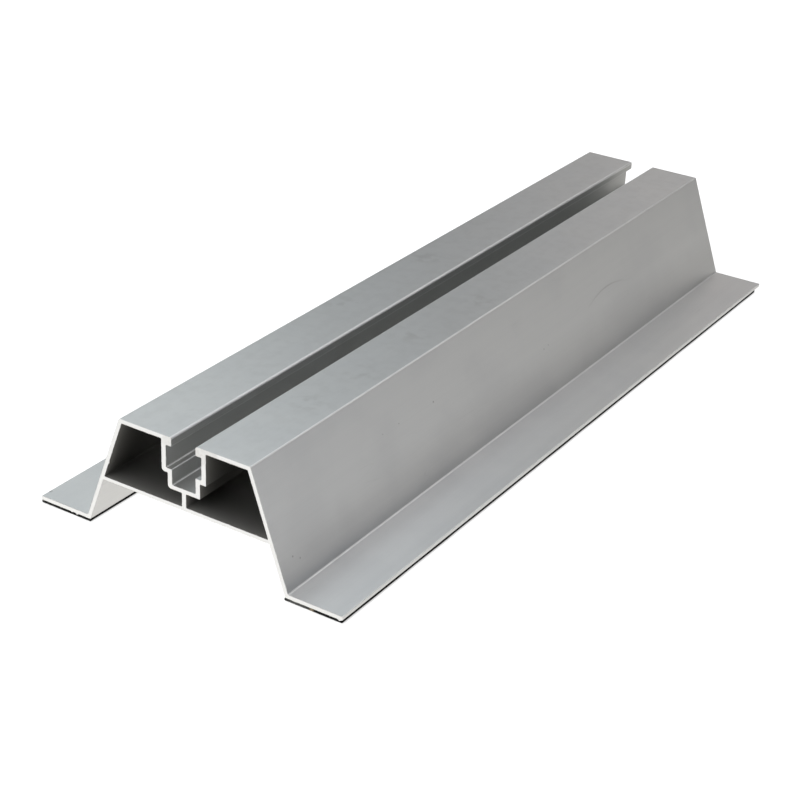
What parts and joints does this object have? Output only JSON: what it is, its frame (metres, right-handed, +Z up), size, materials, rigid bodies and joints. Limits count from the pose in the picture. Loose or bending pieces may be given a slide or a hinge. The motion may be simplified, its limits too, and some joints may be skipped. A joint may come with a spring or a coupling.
{
  "type": "solar mounting rail",
  "caption": "Short extruded hat-profile rail with a stepped clamp channel along its top, hollow chambers, flat fixing flanges and a rubber sealing strip bonded under each flange.",
  "frame": {"origin": "middle of the rail's length and width, on the underside of the sealing strips, where the rail rests on the roof sheet", "axes": "+X across the rail, +Y along the rail towards its back end, +Z up, out of the mouth of the clamp channel"},
  "size_m": [0.1266, 0.33, 0.0443],
  "materials": {
    "aluminium_profile": "mill-finish extruded aluminium, satin, with fine lines along the rail and sawn ends",
    "sealing_rubber": "matt black closed-cell EPDM rubber strip"
  },
  "bodies": {
    "root": {"rail_profile": "aluminium_profile", "seal_strip_left": "sealing_rubber", "seal_strip_right": "sealing_rubber"}
  },
  "joints": []
}
